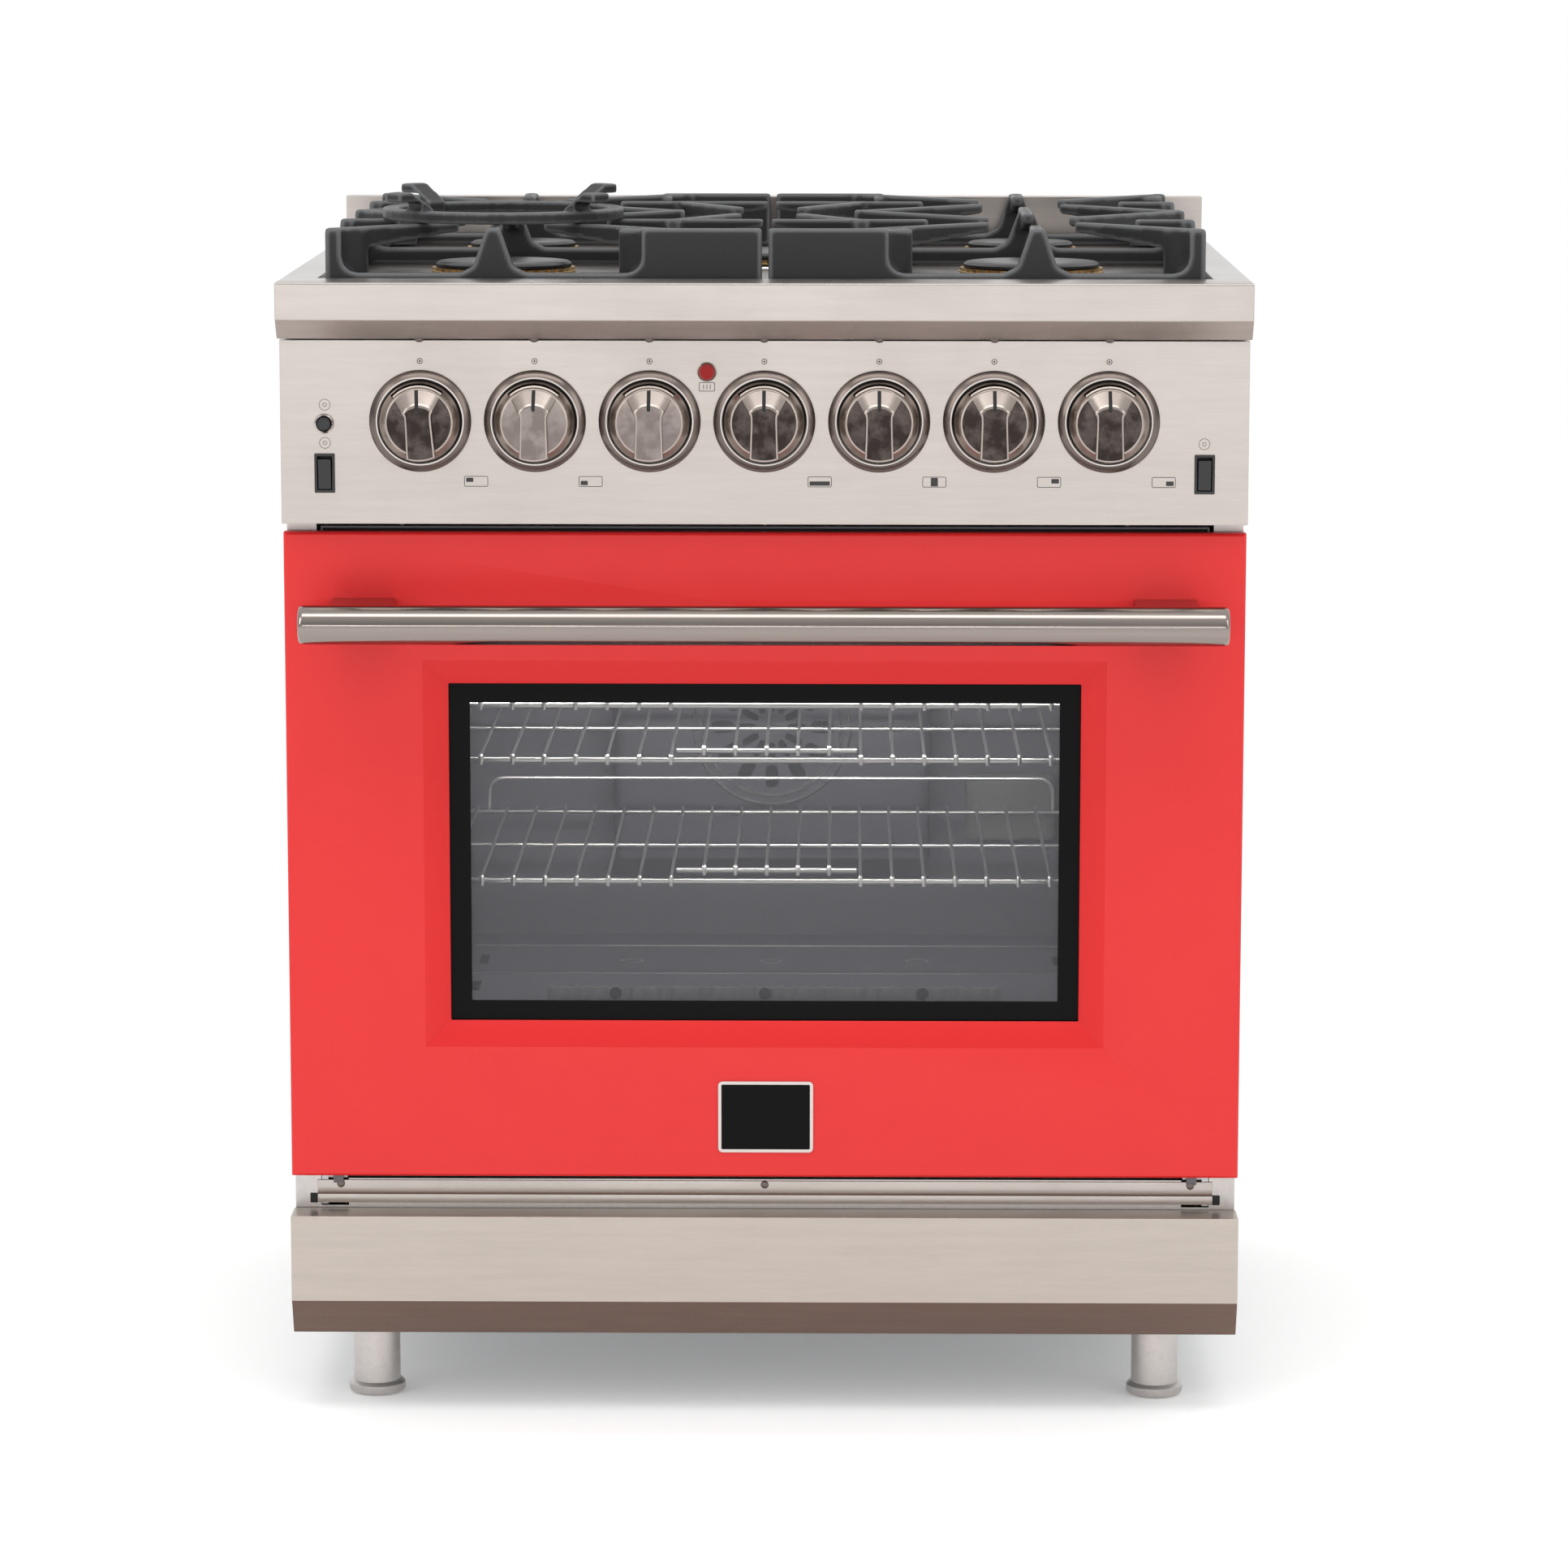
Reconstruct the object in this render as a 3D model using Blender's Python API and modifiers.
"""A freestanding gas range, 30 inches wide: steel cabinet, drop-down oven door, five burners.

The range stands on the plane z = 0 and faces -Y. Lengths are in metres. The driving dimensions
come first, then one section for each group of sub-parts.
"""
import math

import bmesh
import bpy
from mathutils import Matrix, Vector

# ---------------------------------------------------------------- driving dimensions
WIDTH = 0.762                # across the front rail and the cooktop
COOKTOP_HEIGHT = 0.914       # floor to the top of the front rail
CABINET_DEPTH = 0.660        # face of the front rail to the back of the cabinet
HANDLE_REACH = 0.038         # how far the handle bar stands ahead of the front rail
LEG_HEIGHT = 0.066           # floor to the lower edge of the kick panel
SHEET = 0.0015               # steel sheet
THICK_SHEET = 0.002          # steel sheet of the cabinet's sides, base and kick panel
GAP = 0.0003                 # between pieces that touch
SEAM = 0.0018                # visible seam between the front rail and the control panel

# front rail
RAIL_FACE = 0.029
RAIL_CHAMFER_DROP = 0.0155
RAIL_CHAMFER_BACK = 0.0125
RAIL_DEPTH = 0.026
# control panel
PANEL_SETBACK = 0.023
PANEL_TALL = 0.1445
PANEL_FLANGE = 0.022
PANEL_INSET = 0.001          # each end, from the rail's end
# door
DOOR_SETBACK = 0.033
DOOR_INSET = 0.001
DOOR_GAP_ABOVE = 0.0047
DOOR_LIP = 0.003             # the inner panel's top edge above the outer one's
DOOR_EDGE = 0.012            # thickness of the outer panel at its edges
DOOR_THICKNESS = 0.043       # outer face to the back of the inner panel
GAP_UNDER_DOOR = 0.030
WINDOW_SIDE = 0.109          # door's edge to the window's bevel
WINDOW_ABOVE = 0.1019
WINDOW_BELOW = 0.1063
WINDOW_BEVEL = 0.0200
GLASS = 0.004
HANDLE_RADIUS = 0.0155
HANDLE_INSET = 0.017         # door's edge to the end of the bar
HANDLE_DROP = 0.0667         # door panel's top edge to the bar's centre
POST_WIDTH = 0.050
POST_INSET = 0.0465          # bar's end to the post's centre
HINGE_BELOW = 0.004          # hinge axis below the outer door panel
HINGE_BEHIND = 0.022         # hinge axis behind the door's face
HINGE_PIN_RADIUS = 0.003
LUG_RADIUS = 0.007
LUG_WIDTH = 0.008
LUG_SIDE = 0.0115            # door opening's side to the middle of a lug
NOTCH_SIDE = 0.0195          # notch in the frame for the lug and its bracket
NOTCH_BELOW = 0.0242
NOTCH_ABOVE = 0.0078
# kick panel
KICK_SETBACK = 0.020
KICK_DEPTH = 0.0305
KICK_FACE = 0.0697
KICK_CHAMFER_DROP = 0.0295
KICK_CHAMFER_BACK = 0.014
# cabinet
CABINET_INSET = 0.0022       # cabinet's side in from the rail's end
FRAME_SETBACK = 0.052
FRAME_POST = 0.0235
FRAME_RETURN = 0.026
# oven
OVEN_SIDE = 0.081            # range's side to the oven's side wall
OVEN_BEHIND = 0.100          # oven's back wall to the back of the range
OVEN_BELOW_TOP = 0.2350      # cooktop to the oven's roof
OVEN_ABOVE_DOOR_FOOT = 0.039
FLOOR_ABOVE_SUMP = 0.0600
RACK_PITCH = 0.0995
RACK_DROP = 0.0150           # middle of the two racks below the middle of the oven
RACK_FRONT = 0.036           # oven's mouth to the rack's front wire
RACK_BEHIND = 0.094          # rack's back wire to the oven's back wall
RACK_SIDE_GAP = 0.006
RACK_WIRE = 0.005
WIRE_PITCH = 0.0256
FAN_RADIUS = 0.058
FAN_SHAFT = 0.004
BAFFLE_SIDE = 0.160          # oven's side wall to the side of the fan's cover
BAFFLE_TALL = 0.240
BAFFLE_DEPTH = 0.036
LAMP_WIDTH = 0.080           # oven lamp's cover
LAMP_TALL = 0.060
LAMP_SIDE = 0.048            # oven's side wall to the lamp's cover
LAMP_BELOW = 0.075           # fan's centre to the lamp's centre
BAKE_RADIUS = 0.013
BAKE_INSET = 0.05075         # oven's front or back to the end of the bake burner
BAKE_WING = 0.030
# cooktop
LEDGE = 0.034                # front ledge of the cooktop, from the rail to the well
SIDE_FLANGE = 0.028
WELL_DEPTH = 0.0070
BACKGUARD_RISE = 0.035
BACKGUARD_THICKNESS = 0.020
# grates
GRATE_RISE = 0.0385          # top of the grates above the cooktop
GRATE_BAR = 0.011
GRATE_GAP = 0.0050           # between the two grates
GRATE_SIDE_GAP = 0.0025
WING = 0.082                 # inner wing of each grate, its share of the middle burner
RAIL_SOLID = 0.0155          # how far each rail stays solid past the wing
FINGER_REACH = 0.084         # burner's centre to the tips of the straight fingers
FINGER_DIAGONAL = 0.052      # and of the diagonal ones
MIDDLE_REACH = 0.0545        # middle burner's centre to the tips round it
RING_RADIUS = 0.098
RING_BAND = 0.013
RING_THICKNESS = 0.0095
RING_ARM = 0.118             # ring's centre to the end of an arm
RING_ARM_TOP = 0.025
RING_ARM_WIDTH = 0.018
# burners
BURNER_RADII = {"left_front": 0.059, "right_front": 0.059, "left_rear": 0.049, "right_rear": 0.049,
                "middle": 0.055}
BURNER_THROAT = 0.026
BURNER_CROWN = 0.0068        # well's floor to the top of the crown
BURNER_CAP = 0.0125
BURNER_DROP = 0.035          # how far the throat reaches below the well's floor
# gas supply and vents
PIPE_RADIUS = 0.010
PIPE_SIDE = 0.051            # range's side to the pipe's end
FEED_RADIUS = 0.008
FEED_SIDE = 0.081
FEED_DROP = 0.200
VALVE_BODY = 0.026
VENT_COUNT = 7
VENT_PITCH = 0.080
VENT_WIDTH = 0.060
VENT_TALL = 0.010
VENT_DROP = 0.125
SLOT_COUNT = 9               # exhaust slots on the backguard
SLOT_PITCH = 0.060
SLOT_WIDTH = 0.040
SLOT_DEPTH = 0.006
# knobs
KNOB_RADIUS = 0.0315
KNOB_MARGIN = 0.110          # panel's end to the first knob
KNOB_DROP = 0.0633           # panel's top edge to the knobs' centres
KNOB_BODY = 0.010
GRIP_HEIGHT = 0.010
KNOB_CLEAR = 0.006           # behind the knob, room for its push
KNOB_PUSH = 0.004
STEM_RADIUS = 0.004
BORE_CLEARANCE = 0.0004
# switches
SWITCH_WIDTH = 0.016
SWITCH_TALL = 0.031
SWITCH_MARGIN = 0.0345
SWITCH_DROP = 0.1045
ROCKER_TILT = math.radians(7)
BUTTON_RADIUS = 0.0055
BUTTON_DROP = 0.0655
LAMP_RADIUS = 0.007
LAMP_DROP = 0.0245
# legs
LEG_RADIUS = 0.019
LEG_SETBACK = 0.085
LEG_SIDE = 0.060
LEG_TRAVEL = 0.025           # how far a leg screws out
LEG_FOOT = 0.008             # thickness of the round foot
STUD_RADIUS = 0.0045

# ---------------------------------------------------------------- places worked out from them
TOP = COOKTOP_HEIGHT
FRONT = -(CABINET_DEPTH - HANDLE_REACH) / 2       # face of the front rail
BACK = FRONT + CABINET_DEPTH
HALF = WIDTH / 2
RAIL_BOTTOM = TOP - RAIL_FACE - RAIL_CHAMFER_DROP
PANEL_Y = FRONT + PANEL_SETBACK
PANEL_TOP = RAIL_BOTTOM - SEAM
PANEL_BOTTOM = PANEL_TOP - PANEL_TALL
PANEL_HALF = HALF - PANEL_INSET
KICK_Y = FRONT + KICK_SETBACK
KICK_BOTTOM = LEG_HEIGHT
KICK_TOP = KICK_BOTTOM + KICK_FACE + KICK_CHAMFER_DROP
DOOR_Y = FRONT + DOOR_SETBACK
DOOR_LIP_TOP = PANEL_BOTTOM - DOOR_GAP_ABOVE
DOOR_TOP = DOOR_LIP_TOP - DOOR_LIP
DOOR_BOTTOM = KICK_TOP + GAP_UNDER_DOOR
DOOR_HALF = HALF - DOOR_INSET
DOOR_BACK = DOOR_Y + DOOR_THICKNESS
CABINET_HALF = HALF - CABINET_INSET
FRAME_Y = FRONT + FRAME_SETBACK
OPENING_HALF = CABINET_HALF - FRAME_POST
HINGE = Vector((0, DOOR_Y + HINGE_BEHIND, DOOR_BOTTOM - HINGE_BELOW))
OVEN_Y = DOOR_BACK + 0.004
OVEN_BACK = BACK - OVEN_BEHIND
OVEN_ROOF = TOP - OVEN_BELOW_TOP
OVEN_SUMP = DOOR_BOTTOM + OVEN_ABOVE_DOOR_FOOT
OVEN_FLOOR = OVEN_SUMP + FLOOR_ABOVE_SUMP
OVEN_HALF = HALF - OVEN_SIDE
WELL_Y = FRONT + RAIL_DEPTH + LEDGE
WELL_BACK = BACK - BACKGUARD_THICKNESS - 0.006
WELL_HALF = HALF - SIDE_FLANGE
WELL_FLOOR = TOP - WELL_DEPTH
GRATE_TOP = TOP + GRATE_RISE
GRATE_FOOT = WELL_FLOOR + GAP
GRATE_Y = WELL_Y + 0.007
GRATE_BACK = WELL_BACK - 0.005
GRATE_INNER = GRATE_GAP / 2
GRATE_OUTER = WELL_HALF - 0.003 - GRATE_SIDE_GAP
GRATE_MIDDLE = (GRATE_Y + GRATE_BACK) / 2
BURNER_X = (WING + GRATE_OUTER) / 2
BURNER_FRONT = (GRATE_Y + GRATE_MIDDLE) / 2
BURNER_REAR = (GRATE_BACK + GRATE_MIDDLE) / 2
KNOB_Z = PANEL_TOP - KNOB_DROP
VALVE_Y = PANEL_Y + 0.040
HANDLE_HALF = DOOR_HALF - HANDLE_INSET

# ---------------------------------------------------------------- scene and helpers
for old in list(bpy.data.objects):
    bpy.data.objects.remove(old, do_unlink=True)

PARTS = bpy.data.collections.new("gas_range")
HELPERS = bpy.data.collections.new("cutters")
bpy.context.scene.collection.children.link(PARTS)
bpy.context.scene.collection.children.link(HELPERS)


def finish(name, colour, roughness, metallic=0.0):
    """A Principled material of one colour."""
    material = bpy.data.materials.new(name)
    material.use_nodes = True
    shader = material.node_tree.nodes["Principled BSDF"]
    shader.inputs["Base Color"].default_value = (*colour, 1)
    shader.inputs["Roughness"].default_value = roughness
    shader.inputs["Metallic"].default_value = metallic
    return material


STEEL = finish("brushed_steel", (0.62, 0.59, 0.56), 0.32, 1)
ZINC = finish("zinc_sheet", (0.45, 0.45, 0.46), 0.5, 1)
RED = finish("red_enamel", (0.80, 0.06, 0.06), 0.3)
ENAMEL = finish("grey_enamel", (0.12, 0.12, 0.13), 0.35)
IRON = finish("cast_iron", (0.05, 0.05, 0.055), 0.6)
BRASS = finish("brass", (0.60, 0.40, 0.18), 0.35, 1)
CHROME = finish("chrome_wire", (0.55, 0.55, 0.57), 0.15, 1)
DARK_GLASS = finish("dark_glass", (0.03, 0.03, 0.035), 0.05)
BLACK = finish("black_plastic", (0.02, 0.02, 0.02), 0.4)
LENS = finish("red_lens", (0.5, 0.01, 0.01), 0.1)


def keep(name, mesh, material, place=(0, 0, 0)):
    """Puts a mesh into the part as the object `name`."""
    mesh.name = name
    mesh.materials.clear()
    mesh.materials.append(material)
    item = bpy.data.objects.new(name, mesh)
    item.location = place
    PARTS.objects.link(item)
    return item


def mesh_from(build):
    """A mesh filled by build(bm)."""
    bm = bmesh.new()
    build(bm)
    bmesh.ops.recalc_face_normals(bm, faces=bm.faces)
    mesh = bpy.data.meshes.new("shape")
    bm.to_mesh(mesh)
    bm.free()
    return mesh


def box(low, high):
    """A box between two opposite corners."""
    low, high = Vector(low), Vector(high)
    matrix = Matrix.Translation((low + high) / 2) @ Matrix.Diagonal((*(high - low), 1))
    return mesh_from(lambda bm: bmesh.ops.create_cube(bm, size=1, matrix=matrix))


def cylinder(start, end, radius, sides=24, end_radius=None):
    """A round bar, or a cone, from one point to another."""
    start, end = Vector(start), Vector(end)
    turn = (end - start).to_track_quat("Z", "Y").to_matrix().to_4x4()
    matrix = Matrix.Translation((start + end) / 2) @ turn
    radius2 = radius if end_radius is None else end_radius
    return mesh_from(lambda bm: bmesh.ops.create_cone(
        bm, cap_ends=True, segments=sides, radius1=radius, radius2=radius2,
        depth=(end - start).length, matrix=matrix))


def slab(outline, thickness, matrix):
    """A flat outline in its own XY plane, thickened along its Z and put in place by a matrix."""
    curve = bpy.data.curves.new("outline", "CURVE")
    curve.dimensions = "2D"
    curve.fill_mode = "BOTH"
    curve.extrude = thickness / 2
    spline = curve.splines.new("POLY")
    spline.points.add(len(outline) - 1)
    for point, (x, y) in zip(spline.points, outline):
        point.co = (x, y, 0, 1)
    spline.use_cyclic_u = True
    helper = bpy.data.objects.new("outline", curve)
    HELPERS.objects.link(helper)
    graph = bpy.context.evaluated_depsgraph_get()
    flat = bpy.data.meshes.new_from_object(helper.evaluated_get(graph))
    bpy.data.objects.remove(helper, do_unlink=True)

    def build(bm):
        bm.from_mesh(flat)
        bmesh.ops.remove_doubles(bm, verts=bm.verts, dist=1e-6)
        bmesh.ops.transform(bm, matrix=matrix, verts=bm.verts)
    return mesh_from(build)


def across(x):
    """Matrix that stands an outline of (y, z) points at this x, thickened along X."""
    return Matrix(((0, 0, 1, x), (1, 0, 0, 0), (0, 1, 0, 0), (0, 0, 0, 1)))


def facing(y):
    """Matrix that stands an outline of (x, z) points at this y, thickened along Y."""
    return Matrix(((1, 0, 0, 0), (0, 0, -1, y), (0, 1, 0, 0), (0, 0, 0, 1)))


def turned(name, profile, material, place, sides=32):
    """A round piece about Z: a profile of (radius, height), from its top down, with a Screw."""
    mesh = bpy.data.meshes.new(name)
    edges = [(i, i + 1) for i in range(len(profile) - 1)]
    mesh.from_pydata([(r, 0, z) for r, z in profile], edges, [])
    item = keep(name, mesh, material, place)
    screw = item.modifiers.new("turn", "SCREW")
    screw.steps = screw.render_steps = sides
    screw.use_merge_vertices = True
    screw.merge_threshold = 0.00001
    return item


def sheet(name, rings, wall, material, closed=False):
    """A folded sheet: rings of corners joined in order, the last one filled if closed.

    The rings run anticlockwise as seen from the side that the sheet shows; the wall lies behind.
    """
    bm = bmesh.new()
    loops = [[bm.verts.new(point) for point in ring] for ring in rings]
    for near, far in zip(loops, loops[1:]):
        for i in range(len(near)):
            j = (i + 1) % len(near)
            bm.faces.new((near[i], near[j], far[j], far[i]))
    if closed:
        bm.faces.new(loops[-1])
    mesh = bpy.data.meshes.new(name)
    bm.to_mesh(mesh)
    bm.free()
    item = keep(name, mesh, material)
    solid = item.modifiers.new("wall", "SOLIDIFY")
    solid.thickness = wall
    solid.use_even_offset = True
    return item


def combine(item, shapes, operation):
    """One Boolean between an object and a group of meshes."""
    group = bpy.data.collections.new(f"{item.name}_{operation.lower()}")
    HELPERS.children.link(group)
    for shape in shapes:
        helper = bpy.data.objects.new(f"{item.name}_tool", shape)
        helper.hide_render = True
        helper.display_type = "WIRE"
        group.objects.link(helper)
    modifier = item.modifiers.new(operation.lower(), "BOOLEAN")
    modifier.operation = operation
    modifier.operand_type = "COLLECTION"
    modifier.collection = group
    modifier.solver = "EXACT"
    return item


def cut(item, *shapes):
    return combine(item, shapes, "DIFFERENCE")


def join(item, *shapes):
    return combine(item, shapes, "UNION")


def on_axis(item, pivot):
    """Moves an object's origin to its joint's axis and leaves its shape where it is."""
    item.data.transform(Matrix.Translation(-Vector(pivot)))
    item.location = pivot
    return item


def axis_empty(name, place, children):
    """An empty on a joint's axis, with the pieces that turn about it as its children."""
    empty = bpy.data.objects.new(name, None)
    empty.location = place
    PARTS.objects.link(empty)
    for child in children:
        child.parent = empty
        child.matrix_parent_inverse = Matrix.Translation(place).inverted()
    return empty


def front_ring(half, bottom, top, y):
    """Four corners in the plane y, anticlockwise as seen from the front."""
    return [(-half, y, bottom), (half, y, bottom), (half, y, top), (-half, y, top)]


def level_ring(half, front, back, z):
    """Four corners at height z, anticlockwise as seen from above."""
    return [(-half, front, z), (half, front, z), (half, back, z), (-half, back, z)]


def mirror_x(x, side):
    return x if side == "right" else -x


def mirror_pair(a, b, side):
    """Two x on one side of the range, the lower first."""
    return sorted((mirror_x(a, side), mirror_x(b, side)))


SIDES = ("left", "right")


# ---------------------------------------------------------------- cabinet
def make_cabinet():
    deck = TOP - 0.021                     # lower edge of the cooktop's skirt
    for side in SIDES:
        x0, x1 = mirror_pair(CABINET_HALF - THICK_SHEET, CABINET_HALF, side)
        keep(f"side_panel_{side}", box((x0, FRAME_Y + SHEET + GAP, KICK_BOTTOM),
                                       (x1, BACK - SHEET - GAP, deck)), STEEL)

    inner = CABINET_HALF - THICK_SHEET - GAP
    back = keep("back_panel", box((-CABINET_HALF, BACK - SHEET, KICK_BOTTOM),
                                  (CABINET_HALF, BACK, deck)), ZINC)
    vents = []
    for i in range(VENT_COUNT):
        x, z = (i - (VENT_COUNT - 1) / 2) * VENT_PITCH, TOP - VENT_DROP
        vents.append(box((x - VENT_WIDTH / 2, BACK - 0.02, z - VENT_TALL / 2),
                         (x + VENT_WIDTH / 2, BACK + 0.02, z + VENT_TALL / 2)))
    x, z = HALF - FEED_SIDE, TOP - FEED_DROP
    inlet = cylinder((x, BACK - 0.02, z), (x, BACK + 0.02, z), FEED_RADIUS + 0.004)
    cut(back, *vents, inlet)

    base = keep("base_pan", box((-inner, FRAME_Y + 0.004, KICK_BOTTOM),
                                (inner, BACK - SHEET - GAP, KICK_BOTTOM + THICK_SHEET)), ZINC)
    cut(base, *[cylinder((x, y, KICK_BOTTOM - 0.01), (x, y, KICK_BOTTOM + 0.01), STUD_RADIUS + 0.001, 16)
                for x, y in leg_places()])

    frame = sheet("front_frame", [
        front_ring(CABINET_HALF, KICK_BOTTOM, RAIL_BOTTOM - GAP, FRAME_Y),
        front_ring(OPENING_HALF, DOOR_BOTTOM - 0.006, DOOR_LIP_TOP + 0.006, FRAME_Y),
        front_ring(OPENING_HALF, DOOR_BOTTOM - 0.006, DOOR_LIP_TOP + 0.006, FRAME_Y + FRAME_RETURN)],
        SHEET, STEEL)
    holes = [cylinder((x, FRAME_Y - 0.01, KNOB_Z), (x, FRAME_Y + 0.01, KNOB_Z), STEM_RADIUS + 0.003, 16)
             for _, x in knob_places()]
    notches = []
    for side in SIDES:
        x0, x1 = mirror_pair(OPENING_HALF - NOTCH_SIDE, OPENING_HALF + 0.0028, side)
        notches.append(box((x0, FRAME_Y - 0.01, HINGE.z - NOTCH_BELOW),
                           (x1, FRAME_Y + 0.04, HINGE.z + NOTCH_ABOVE)))
    cut(frame, *holes, *notches)


def leg_places():
    """Centres of the four legs: left front, right front, left rear, right rear."""
    x = CABINET_HALF - LEG_SIDE
    front, back = KICK_Y + LEG_SETBACK, BACK - LEG_SIDE
    return [(-x, front), (x, front), (-x, back), (x, back)]


def make_legs():
    names = ("leg_left_front", "leg_right_front", "leg_left_rear", "leg_right_rear")
    stud_top = LEG_HEIGHT + LEG_TRAVEL + 0.015
    for name, (x, y) in zip(names, leg_places()):
        profile = [(0, stud_top), (STUD_RADIUS, stud_top), (STUD_RADIUS, LEG_HEIGHT - GAP),
                   (LEG_RADIUS, LEG_HEIGHT - GAP), (LEG_RADIUS, LEG_FOOT),
                   (LEG_RADIUS + 0.004, LEG_FOOT - 0.002), (LEG_RADIUS + 0.004, 0), (0, 0)]
        turned(name, profile, STEEL, (x, y, 0), 24)


def make_front_rail():
    chamfer = (FRONT + RAIL_CHAMFER_BACK, RAIL_BOTTOM)
    outline = [(FRONT + 0.001, TOP), (FRONT, TOP - 0.001), (FRONT, TOP - RAIL_FACE), chamfer,
               (FRONT + RAIL_DEPTH, RAIL_BOTTOM), (FRONT + RAIL_DEPTH, TOP)]
    rail = keep("front_rail", slab(outline, WIDTH, across(0)), STEEL)
    wall = SHEET
    inner = [(FRONT + wall, TOP - wall), (FRONT + wall, TOP - RAIL_FACE),
             (FRONT + RAIL_CHAMFER_BACK + wall, RAIL_BOTTOM + wall),
             (FRONT + RAIL_DEPTH + 0.01, RAIL_BOTTOM + wall), (FRONT + RAIL_DEPTH + 0.01, TOP - wall)]
    cut(rail, slab(inner, WIDTH - 2 * wall, across(0)))


def make_kick_panel():
    half = HALF - DOOR_INSET
    outline = [(KICK_Y, KICK_TOP), (KICK_Y, KICK_TOP - KICK_FACE), (KICK_Y + KICK_CHAMFER_BACK, KICK_BOTTOM),
               (KICK_Y + KICK_DEPTH, KICK_BOTTOM), (KICK_Y + KICK_DEPTH, KICK_TOP)]
    kick = keep("kick_panel", slab(outline, 2 * half, across(0)), STEEL)
    wall, past = SHEET, KICK_Y + KICK_DEPTH + 0.01
    inner = [(KICK_Y + wall, KICK_TOP - wall), (KICK_Y + wall, KICK_TOP - KICK_FACE),
             (KICK_Y + KICK_CHAMFER_BACK + wall, KICK_BOTTOM + wall), (past, KICK_BOTTOM + wall),
             (past, KICK_TOP - wall)]
    cut(kick, slab(inner, 2 * (half - wall), across(0)))


# ---------------------------------------------------------------- control panel
def knob_places():
    """Name and x of each of the seven knobs, left to right."""
    names = ("left_rear", "left_front", "oven_heat", "oven_mode", "middle", "right_rear", "right_front")
    pitch = (PANEL_HALF - KNOB_MARGIN) / 3
    return [(name, (i - 3) * pitch) for i, name in enumerate(names)]


def make_control_panel():
    panel = sheet("control_panel", [
        front_ring(PANEL_HALF, PANEL_BOTTOM, PANEL_TOP, PANEL_Y + PANEL_FLANGE),
        front_ring(PANEL_HALF, PANEL_BOTTOM, PANEL_TOP, PANEL_Y)], SHEET, STEEL, closed=True)

    def hole(x, z, radius):
        return cylinder((x, PANEL_Y - 0.01, z), (x, PANEL_Y + 0.01, z), radius, 20)

    holes = [hole(x, KNOB_Z, STEM_RADIUS + 0.002) for _, x in knob_places()]
    holes.append(hole(lamp_x(), PANEL_TOP - LAMP_DROP, LAMP_RADIUS - 0.001))
    holes.append(hole(-switch_x(), PANEL_TOP - BUTTON_DROP, BUTTON_RADIUS + BORE_CLEARANCE))
    half_width, half_tall = SWITCH_WIDTH / 2 - 0.001, SWITCH_TALL / 2 - 0.001
    for side in SIDES:
        x, z = mirror_x(switch_x(), side), PANEL_TOP - SWITCH_DROP
        holes.append(box((x - half_width, PANEL_Y - 0.01, z - half_tall),
                         (x + half_width, PANEL_Y + 0.01, z + half_tall)))
    cut(panel, *holes)


def switch_x():
    return PANEL_HALF - SWITCH_MARGIN


def lamp_x():
    """The lamp stands halfway between the two oven knobs."""
    places = dict(knob_places())
    return (places["oven_heat"] + places["oven_mode"]) / 2


def make_knobs():
    for name, x in knob_places():
        back = PANEL_Y - KNOB_CLEAR
        face = back - KNOB_BODY
        grip = face - GRIP_HEIGHT
        knob = keep(f"knob_{name}", cylinder((x, back, KNOB_Z), (x, face, KNOB_Z), KNOB_RADIUS, 32,
                                             KNOB_RADIUS - 0.0055), STEEL)
        bar = [(-0.0125, -0.029), (0.0125, -0.029), (0.0105, 0.004), (0.0165, 0.026), (-0.0165, 0.026),
               (-0.0105, 0.004)]
        shape = slab([(x + u, KNOB_Z + v) for u, v in bar], GRIP_HEIGHT + KNOB_BODY - 0.002,
                     facing((grip + back - 0.002) / 2))
        join(knob, shape)
        bore_end = back - KNOB_PUSH - 0.0125
        cut(knob, cylinder((x, back + 0.01, KNOB_Z), (x, bore_end, KNOB_Z),
                           STEM_RADIUS + BORE_CLEARANCE, 16))
        on_axis(knob, (x, back, KNOB_Z))
        stem = cylinder((x, VALVE_Y + 0.012, KNOB_Z), (x, back - 0.012, KNOB_Z), STEM_RADIUS, 16)
        stem = keep(f"valve_stem_{name}", stem, BRASS)
        flat = box((x - 0.01, back - 0.02, KNOB_Z + 0.0025), (x + 0.01, back + 0.001, KNOB_Z + 0.01))
        cut(stem, flat)
        on_axis(stem, (x, back, KNOB_Z))
        axis_empty(f"axis_{name}", (x, back, KNOB_Z), [knob, stem])


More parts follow.
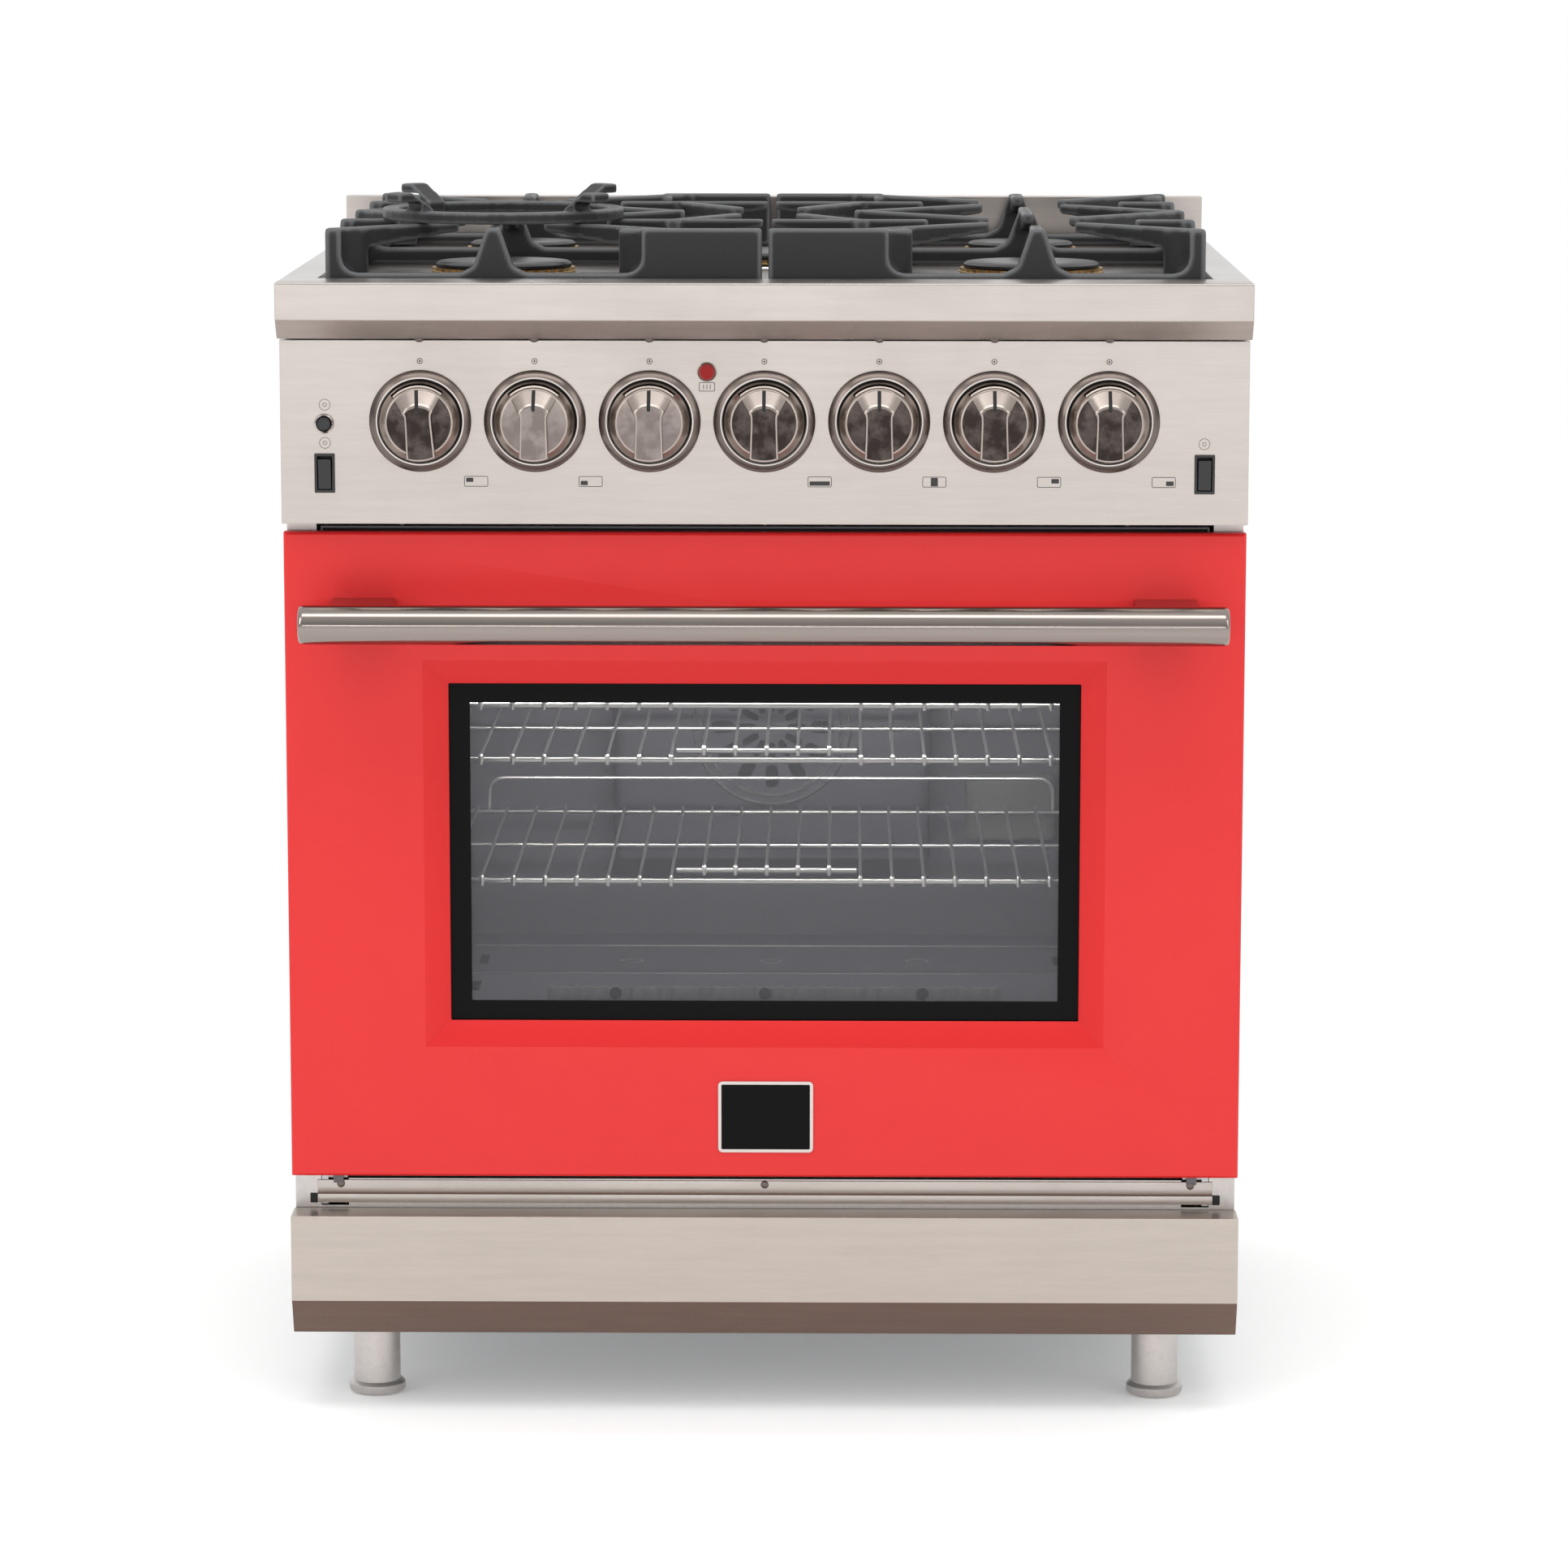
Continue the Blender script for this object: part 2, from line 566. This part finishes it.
def make_gas_manifold():
    """A pipe across the range behind the control panel, a valve on it for each burner knob."""
    pipe_y, end_x = VALVE_Y + 0.030, HALF - PIPE_SIDE
    manifold = keep("gas_manifold", cylinder((-end_x, pipe_y, KNOB_Z), (end_x, pipe_y, KNOB_Z),
                                             PIPE_RADIUS, 16), ZINC)
    half = VALVE_BODY / 2
    valves = [box((x - half, VALVE_Y, KNOB_Z - half - 0.001), (x + half, pipe_y + 0.004, KNOB_Z + half + 0.001))
              for _, x in knob_places()]
    feed_x, feed_z = HALF - FEED_SIDE, TOP - FEED_DROP
    feed = [cylinder((feed_x, pipe_y, KNOB_Z + 0.004), (feed_x, pipe_y, feed_z), FEED_RADIUS, 12),
            cylinder((feed_x, pipe_y - 0.004, feed_z), (feed_x, BACK, feed_z), FEED_RADIUS + 0.0005, 12)]
    join(manifold, *valves, *feed)
    cut(manifold, *[cylinder((x, VALVE_Y - 0.01, KNOB_Z), (x, VALVE_Y + 0.0125, KNOB_Z),
                             STEM_RADIUS + BORE_CLEARANCE, 16) for _, x in knob_places()])


def make_switches():
    for side in SIDES:
        x, z = mirror_x(switch_x(), side), PANEL_TOP - SWITCH_DROP
        half_width, half_tall = SWITCH_WIDTH / 2, SWITCH_TALL / 2
        frame_y = PANEL_Y - 0.0015
        housing = keep(f"switch_housing_{side}", box(
            (x - half_width, frame_y, z - half_tall), (x + half_width, PANEL_Y - GAP, z + half_tall)), BLACK)
        inner_width, inner_tall = half_width - 0.0015, half_tall - 0.0015
        join(housing, box((x - inner_width, PANEL_Y - 0.001, z - inner_tall),
                          (x + inner_width, PANEL_Y + 0.018, z + inner_tall)))
        cut(housing, box((x - inner_width + 0.0008, frame_y - 0.01, z - inner_tall + 0.0008),
                         (x + inner_width - 0.0008, PANEL_Y + 0.014, z + inner_tall - 0.0008)))
        pivot = Vector((x, PANEL_Y + 0.004, z))
        wide, tall = inner_width - 0.0014, inner_tall - 0.0020
        outline = [(pivot.y + 0.006, z - 0.005), (pivot.y + 0.006, z + 0.005), (pivot.y - 0.0055, z + tall),
                   (pivot.y - 0.0068, z + tall), (pivot.y - 0.0060, z), (pivot.y - 0.0068, z - tall),
                   (pivot.y - 0.0055, z - tall)]
        rocker = keep(f"rocker_{side}", slab(outline, 2 * wide, across(x)), BLACK)
        on_axis(rocker, pivot)
        rocker.rotation_euler = (ROCKER_TILT, 0, 0)
        axis_empty(f"axis_rocker_{side}", pivot, [rocker])

    x, z = -switch_x(), PANEL_TOP - BUTTON_DROP
    button = cylinder((x, PANEL_Y - 0.0055, z), (x, PANEL_Y + 0.012, z), BUTTON_RADIUS, 20)
    on_axis(keep("ignition_button", button, STEEL), (x, PANEL_Y, z))
    x, z = lamp_x(), PANEL_TOP - LAMP_DROP
    lens = cylinder((x, PANEL_Y - GAP, z), (x, PANEL_Y - 0.005, z), LAMP_RADIUS, 20, LAMP_RADIUS - 0.0015)
    lamp = keep("indicator_lamp", lens, LENS)
    join(lamp, cylinder((x, PANEL_Y + 0.014, z), (x, PANEL_Y - 0.002, z), LAMP_RADIUS - 0.0015, 16))


# ---------------------------------------------------------------- cooktop
def burner_places():
    """Name, x and y of each of the five burners."""
    return [("left_front", -BURNER_X, BURNER_FRONT), ("right_front", BURNER_X, BURNER_FRONT),
            ("left_rear", -BURNER_X, BURNER_REAR), ("right_rear", BURNER_X, BURNER_REAR),
            ("middle", 0, GRATE_MIDDLE)]


def make_cooktop():
    start, end = FRONT + RAIL_DEPTH + GAP, BACK - BACKGUARD_THICKNESS - GAP
    slope = 0.003
    tray = sheet("cooktop", [
        level_ring(HALF, start, end, TOP - 0.020),
        level_ring(HALF, start, end, TOP - GAP),
        level_ring(WELL_HALF, WELL_Y, WELL_BACK, TOP - GAP),
        level_ring(WELL_HALF - slope, WELL_Y + slope, WELL_BACK - slope, WELL_FLOOR)],
        SHEET, STEEL, closed=True)
    cut(tray, *[cylinder((x, y, WELL_FLOOR - 0.01), (x, y, WELL_FLOOR + 0.01), BURNER_THROAT + 0.002, 24)
                for _, x, y in burner_places()])


def make_backguard():
    """A low folded riser behind the cooktop, open below, with the oven's exhaust slots on top."""
    front = BACK - BACKGUARD_THICKNESS
    riser = keep("backguard", box((-HALF, front, TOP - 0.020), (HALF, BACK, TOP + BACKGUARD_RISE)), STEEL)
    hollow = box((-HALF + SHEET, front + SHEET, TOP - 0.030),
                 (HALF - SHEET, BACK - SHEET, TOP + BACKGUARD_RISE - SHEET))
    slots = []
    for i in range(SLOT_COUNT):
        x, y = (i - (SLOT_COUNT - 1) / 2) * SLOT_PITCH, BACK - BACKGUARD_THICKNESS / 2
        slots.append(box((x - SLOT_WIDTH / 2, y - SLOT_DEPTH / 2, TOP),
                         (x + SLOT_WIDTH / 2, y + SLOT_DEPTH / 2, TOP + BACKGUARD_RISE + 0.02)))
    cut(riser, hollow, *slots)


def make_burners():
    for name, x, y in burner_places():
        radius = BURNER_RADII[name]
        crown, cap, foot = WELL_FLOOR + BURNER_CROWN, WELL_FLOOR + BURNER_CAP, WELL_FLOOR - BURNER_DROP
        profile = [(0, cap), (radius - 0.008, cap), (radius - 0.004, cap - 0.002), (radius - 0.004, crown),
                   (radius, crown), (radius, WELL_FLOOR + 0.001), (BURNER_THROAT, WELL_FLOOR + 0.001),
                   (BURNER_THROAT, foot), (BURNER_THROAT - 0.003, foot),
                   (BURNER_THROAT - 0.003, cap - 0.003), (0, cap - 0.003)]
        turned(f"burner_{name}", [(r, z - TOP) for r, z in profile], BRASS, (x, y, TOP), 24)


# ---------------------------------------------------------------- grates
def grate_rail(start, end, crown, floor, solid_start, solid_end):
    """Outline of a rail along one line: low, full height at both ends, a peak at `crown`."""
    half_top, fillet = 0.0055, 0.012

    def fillet_arc(corner, towards):
        centre = corner + towards * fillet
        return [(centre - towards * fillet * math.cos(a), floor + fillet - fillet * math.sin(a))
                for a in (math.radians(d) for d in (0, 30, 60, 90))]

    foot = 0.026
    left = [(start, GRATE_FOOT), (start, GRATE_TOP), (solid_start, GRATE_TOP), *fillet_arc(solid_start, 1)]
    peak = [(crown - foot, floor), (crown - 0.016, floor + 0.005), (crown - half_top, GRATE_TOP),
            (crown + half_top, GRATE_TOP), (crown + 0.016, floor + 0.005), (crown + foot, floor)]
    right = [*reversed(fillet_arc(solid_end, -1)), (solid_end, GRATE_TOP), (end, GRATE_TOP), (end, GRATE_FOOT)]
    return left + peak + right


def finger(start, end, base_depth=0.017, tip_depth=0.008):
    """A bar with a level top and a rising underside, from its root to its tip."""
    start, end = Vector((*start, 0)), Vector((*end, 0))
    length = (end - start).length
    angle = math.atan2(end.y - start.y, end.x - start.x)
    outline = [(0, -base_depth), (0, 0), (length, 0), (length, -tip_depth)]
    stand = Matrix(((1, 0, 0, 0), (0, 0, -1, 0), (0, 1, 0, 0), (0, 0, 0, 1)))
    place = Matrix.Translation((start.x, start.y, GRATE_TOP)) @ Matrix.Rotation(angle, 4, "Z") @ stand
    return slab(outline, GRATE_BAR - 0.001, place)


def burner_fingers(x, y, front, back, inner, outer):
    """Eight fingers round one burner: four along the axes and four from the corners."""
    reach = FINGER_REACH
    shapes = [finger((outer, y), (x + reach, y)), finger((x, front), (x, y - reach)),
              finger((x, back), (x, y + reach))]
    for sx, edge in ((-1, inner), (1, outer)):
        for sy, line in ((-1, front), (1, back)):
            tip = Vector((edge - x, line - y)).normalized() * FINGER_DIAGONAL
            shapes.append(finger((edge, line), (x + tip.x, y + tip.y), 0.020))
    return shapes


def make_grates():
    half_bar = GRATE_BAR / 2
    for side in SIDES:
        sign = mirror_x(1, side)
        front, back = GRATE_Y + half_bar, GRATE_BACK - half_bar
        outer, hub = GRATE_OUTER - half_bar, WING - half_bar
        low, middle_low = TOP + 0.0035, TOP + 0.0070
        solid_end = GRATE_OUTER - 0.013

        def rail_x(y, start, floor, solid):
            outline = grate_rail(start, GRATE_OUTER, BURNER_X, floor, solid, solid_end)
            return slab(outline, GRATE_BAR, facing(y))

        def rail_y(x, floor, crown, near, far):
            outline = grate_rail(near, far, crown, floor, near + 0.013, far - 0.013)
            return slab(outline, GRATE_BAR, across(x))

        solid_start = WING + RAIL_SOLID
        body = rail_x(front, GRATE_INNER, low, solid_start)
        shapes = [rail_x(back, GRATE_INNER, low, solid_start),
                  rail_x(GRATE_MIDDLE, WING - GRATE_BAR, middle_low, WING + 0.002)]
        for x in (outer, hub):
            shapes.append(rail_y(x, low, BURNER_FRONT, GRATE_Y, GRATE_MIDDLE + half_bar))
            shapes.append(rail_y(x, low, BURNER_REAR, GRATE_MIDDLE - half_bar, GRATE_BACK))
        for y, near, far in ((BURNER_FRONT, front, GRATE_MIDDLE), (BURNER_REAR, GRATE_MIDDLE, back)):
            shapes += burner_fingers(BURNER_X, y, near, far, hub, outer)
            shapes.append(finger((hub, y), (GRATE_INNER + 0.001, y), 0.017, 0.007))
            shapes.append(finger((hub, y), (BURNER_X - FINGER_REACH, y)))
            away = Vector((hub, y - GRATE_MIDDLE)).normalized() * MIDDLE_REACH
            shapes.append(finger((hub, y), (away.x, GRATE_MIDDLE + away.y)))
        if sign < 0:
            for shape in [body, *shapes]:
                shape.transform(Matrix.Diagonal((-1, 1, 1, 1)))
                shape.flip_normals()
        join(keep(f"grate_{side}", body, IRON), *shapes)


def make_wok_ring():
    x, y, seat = -BURNER_X, BURNER_FRONT, GRATE_TOP + GAP
    top, inner = seat + RING_THICKNESS, RING_RADIUS - RING_BAND
    profile = [(inner, top), (RING_RADIUS, top), (RING_RADIUS, seat), (inner, seat), (inner, top)]
    ring = turned("wok_ring", [(r, z - seat) for r, z in profile], IRON, (x, y, seat), 40)
    shoulder = RING_RADIUS - 0.003
    arm = [(inner - 0.003, 0.002), (shoulder, 0.002), (shoulder, 0.017), (RING_ARM, 0.017),
           (RING_ARM, RING_ARM_TOP - 0.0005), (shoulder + 0.010, RING_ARM_TOP),
           (inner - 0.003, RING_THICKNESS + 0.0015)]
    arms = []
    for quarter in range(4):
        turn = Matrix.Rotation(math.radians(45 + 90 * quarter), 4, "Z")
        stand = Matrix(((1, 0, 0, 0), (0, 0, -1, 0), (0, 1, 0, 0), (0, 0, 0, 1)))
        arms.append(slab(arm, RING_ARM_WIDTH, Matrix.Translation((x, y, seat)) @ turn @ stand))
    join(ring, *arms)


# ---------------------------------------------------------------- oven
def make_oven():
    liner = sheet("oven_liner", [
        front_ring(OPENING_HALF - 0.004, DOOR_BOTTOM, DOOR_LIP_TOP - 0.004, OVEN_Y),
        front_ring(OVEN_HALF, OVEN_SUMP, OVEN_ROOF, OVEN_Y),
        front_ring(OVEN_HALF, OVEN_SUMP, OVEN_ROOF, OVEN_BACK)], SHEET, ENAMEL, closed=True)
    join(liner, *rack_guides())
    fan_z = oven_middle()
    cut(liner, cylinder((0, OVEN_BACK - 0.01, fan_z), (0, OVEN_BACK + 0.01, fan_z), FAN_SHAFT + 0.002, 16))

    tube_z, tube_y, slot_x = OVEN_SUMP + 0.030, (OVEN_Y + OVEN_BACK) / 2, OVEN_HALF - 0.05
    tube_half = (OVEN_BACK - OVEN_Y) / 2 - BAKE_INSET
    floor = keep("oven_floor", box((-OVEN_HALF + 0.001, OVEN_Y + 0.004, OVEN_FLOOR),
                                   (OVEN_HALF - 0.001, OVEN_BACK - 0.002, OVEN_FLOOR + SHEET)), ENAMEL)
    cut(floor, *[box((x - 0.004, y - 0.022, OVEN_FLOOR - 0.01), (x + 0.004, y + 0.022, OVEN_FLOOR + 0.01))
                 for x in (-slot_x - 0.02, -slot_x, slot_x, slot_x + 0.02)
                 for y in (tube_y - tube_half / 1.6, tube_y, tube_y + tube_half / 1.6)])

    burner = keep("bake_burner", cylinder((0, tube_y - tube_half, tube_z), (0, tube_y + tube_half, tube_z),
                                          BAKE_RADIUS, 16), ZINC)
    join(burner, box((-BAKE_WING, tube_y - tube_half + 0.02, tube_z + 0.006),
                     (BAKE_WING, tube_y + tube_half - 0.02, tube_z + 0.010)))

    wide, tall, front = OVEN_HALF - BAFFLE_SIDE, BAFFLE_TALL / 2, OVEN_BACK - BAFFLE_DEPTH
    baffle = keep("fan_baffle", box((-wide, front, fan_z - tall), (wide, OVEN_BACK - 0.0005, fan_z + tall)),
                  ENAMEL)
    hollow = box((-wide + SHEET, front + SHEET, fan_z - tall + SHEET),
                 (wide - SHEET, OVEN_BACK + 0.01, fan_z + tall - SHEET))
    slots = []
    for i in range(7):
        z = fan_z + (i - 3) * 0.016
        reach = math.sqrt((FAN_RADIUS + 0.004) ** 2 - (z - fan_z) ** 2)
        slots.append(box((-reach, front - 0.01, z - 0.004), (reach, front + 0.01, z + 0.004)))
    cut(baffle, hollow, *slots)

    fan = keep("fan", cylinder((0, OVEN_BACK - 0.028, fan_z), (0, OVEN_BACK + 0.030, fan_z), FAN_SHAFT, 16),
               ZINC)
    blades = [cylinder((0, OVEN_BACK - 0.029, fan_z), (0, OVEN_BACK - 0.008, fan_z), 0.016, 16)]
    for i in range(8):
        turn = Matrix.Translation((0, 0, fan_z)) @ Matrix.Rotation(i * math.pi / 4, 4, "Y")
        blade = box((0.010, OVEN_BACK - 0.027, -0.001), (FAN_RADIUS, OVEN_BACK - 0.010, 0.001))
        blade.transform(turn)
        blades.append(blade)
    join(fan, *blades)
    on_axis(fan, (0, OVEN_BACK, fan_z))

    lamp_x1, lamp_z = OVEN_HALF - LAMP_SIDE, fan_z - LAMP_BELOW
    lens = keep("oven_lamp", box((lamp_x1 - LAMP_WIDTH, OVEN_BACK - 0.018, lamp_z - LAMP_TALL / 2),
                                 (lamp_x1, OVEN_BACK - 0.0005, lamp_z + LAMP_TALL / 2)), DARK_GLASS)
    bevel = lens.modifiers.new("edges", "BEVEL")
    bevel.width = 0.004
    bevel.segments = 2

    motor_y = OVEN_BACK + SHEET + 0.004
    motor = keep("fan_motor", cylinder((0, motor_y, fan_z), (0, motor_y + 0.045, fan_z), 0.035, 24), ZINC)
    cut(motor, cylinder((0, motor_y - 0.01, fan_z), (0, motor_y + 0.030, fan_z),
                        FAN_SHAFT + BORE_CLEARANCE, 16))


def oven_middle():
    return (OVEN_FLOOR + OVEN_ROOF) / 2 + 0.002


def rack_heights():
    """Middle of the frame wires of the upper and of the lower rack."""
    middle = (OVEN_FLOOR + OVEN_ROOF) / 2 - RACK_DROP
    return {"rack_upper": middle + RACK_PITCH / 2, "rack_lower": middle - RACK_PITCH / 2}


def rack_guides():
    """Four ledges on the oven's side walls, one under each edge of a rack."""
    ledges = []
    for z in rack_heights().values():
        high = z - RACK_WIRE / 2 - GAP
        for side in SIDES:
            x0, x1 = mirror_pair(OVEN_HALF + 0.0005, OVEN_HALF - RACK_SIDE_GAP - 0.006, side)
            ledges.append(box((x0, OVEN_Y + 0.020, high - 0.004), (x1, OVEN_BACK - 0.050, high)))
    return ledges


def make_racks():
    half = OVEN_HALF - RACK_SIDE_GAP
    start, end = OVEN_Y + RACK_FRONT, OVEN_BACK - RACK_BEHIND
    wire = RACK_WIRE / 2

    def bar(low, high):
        return box([a - wire for a in low], [b + wire for b in high])

    for name, z in rack_heights().items():
        rack = keep(name, bar((-half, start, z), (half, start, z)), CHROME)
        bars = [bar((-half, y, z), (half, y, z)) for y in ((start + end) / 2, end)]
        bars += [bar((x, start, z), (x, end, z)) for x in (-half, half)]
        count = int(half / WIRE_PITCH)
        bars += [bar((i * WIRE_PITCH, start, z + 0.003), (i * WIRE_PITCH, end, z + 0.003))
                 for i in range(-count + 1, count)]
        join(rack, *bars)


# ---------------------------------------------------------------- door
def make_door():
    window_half = DOOR_HALF - WINDOW_SIDE
    window_top, window_bottom = DOOR_TOP - WINDOW_ABOVE, DOOR_BOTTOM + WINDOW_BELOW
    edge_y = DOOR_Y + DOOR_EDGE
    glass_half = window_half - WINDOW_BEVEL
    glass_top, glass_bottom = window_top - WINDOW_BEVEL, window_bottom + WINDOW_BEVEL
    outer = sheet("door_panel", [
        front_ring(DOOR_HALF, DOOR_BOTTOM, DOOR_TOP, edge_y),
        front_ring(DOOR_HALF, DOOR_BOTTOM, DOOR_TOP, DOOR_Y + 0.002),
        front_ring(DOOR_HALF - 0.002, DOOR_BOTTOM + 0.002, DOOR_TOP - 0.002, DOOR_Y),
        front_ring(window_half, window_bottom, window_top, DOOR_Y),
        front_ring(glass_half, glass_bottom, glass_top, edge_y - SHEET)], SHEET, RED)

    glass_y = edge_y + SHEET + GAP
    lap = 0.012
    glass = keep("door_glass_outer", box(
        (-glass_half - lap, glass_y, glass_bottom - lap),
        (glass_half + lap, glass_y + GLASS, glass_top + lap)), DARK_GLASS)

    inner_half = OPENING_HALF - 0.0035
    inner_bottom = DOOR_BOTTOM + 0.004
    lip_y = edge_y + SHEET + 0.004
    pane_half, pane_low, pane_high = glass_half - 0.010, glass_bottom + 0.010, glass_top - 0.010
    back_view = [front_ring(inner_half, inner_bottom, DOOR_LIP_TOP, lip_y),
                 front_ring(inner_half, inner_bottom, DOOR_LIP_TOP, DOOR_BACK),
                 front_ring(pane_half, pane_low, pane_high, DOOR_BACK)]
    inner = sheet("door_inner_panel", [list(reversed(ring)) for ring in back_view], SHEET, ENAMEL)
    lugs = []
    for side in SIDES:
        round_end = [(HINGE.y + LUG_RADIUS * math.cos(a), HINGE.z + LUG_RADIUS * math.sin(a))
                     for a in (math.radians(d) for d in range(180, 361, 30))]
        outline = round_end + [(HINGE.y + LUG_RADIUS, inner_bottom + 0.020),
                               (HINGE.y - 0.0005, inner_bottom + 0.020)]
        lugs.append(slab(outline, LUG_WIDTH, across(mirror_x(OPENING_HALF - LUG_SIDE, side))))
    join(inner, *lugs)
    pin_hole = HINGE_PIN_RADIUS + BORE_CLEARANCE
    cut(inner, cylinder((-0.5, HINGE.y, HINGE.z), (0.5, HINGE.y, HINGE.z), pin_hole, 16))

    bar_y, bar_z = FRONT - HANDLE_REACH + HANDLE_RADIUS, DOOR_TOP - HANDLE_DROP
    bar = keep("handle_bar", cylinder((-HANDLE_HALF, bar_y, bar_z), (HANDLE_HALF, bar_y, bar_z),
                                      HANDLE_RADIUS, 32), STEEL)
    cut(bar, cylinder((-HALF - 0.1, bar_y, bar_z), (HALF + 0.1, bar_y, bar_z), HANDLE_RADIUS - THICK_SHEET, 24))
    pieces = [outer, glass, inner, bar]
    for side in SIDES:
        x = mirror_x(HANDLE_HALF - POST_INSET, side)
        low = (x - POST_WIDTH / 2, bar_y, bar_z - HANDLE_RADIUS + 0.001)
        high = (x + POST_WIDTH / 2, DOOR_Y - GAP, bar_z + HANDLE_RADIUS - 0.001)
        post = keep(f"handle_post_{side}", box(low, high), STEEL)
        cut(post, cylinder((x - 0.04, bar_y, bar_z), (x + 0.04, bar_y, bar_z), HANDLE_RADIUS + GAP, 32))
        pieces.append(post)
    for piece in pieces:
        on_axis(piece, HINGE)
    axis_empty("axis_door", HINGE, pieces)


def make_hinge_brackets():
    """Fixed to the frame beside the opening: a plate with the pin that the door's lug turns on."""
    for side in SIDES:
        inside, outside = OPENING_HALF - 0.0030, OPENING_HALF + 0.0022
        x0, x1 = mirror_pair(inside, outside, side)
        plate = keep(f"hinge_bracket_{side}", box((x0, HINGE.y - 0.003, HINGE.z - 0.0230),
                                                  (x1, OVEN_Y - 0.003, HINGE.z + 0.0042)), ZINC)
        start, end = mirror_x(outside - 0.001, side), mirror_x(OPENING_HALF - 0.0185, side)
        join(plate, cylinder((start, HINGE.y, HINGE.z), (end, HINGE.y, HINGE.z), HINGE_PIN_RADIUS, 16))


make_cabinet()
make_legs()
make_front_rail()
make_kick_panel()
make_control_panel()
make_knobs()
make_gas_manifold()
make_switches()
make_cooktop()
make_backguard()
make_burners()
make_grates()
make_wok_ring()
make_oven()
make_racks()
make_door()
make_hinge_brackets()
print(len([item for item in PARTS.objects if item.type == "MESH"]), "sub-parts")
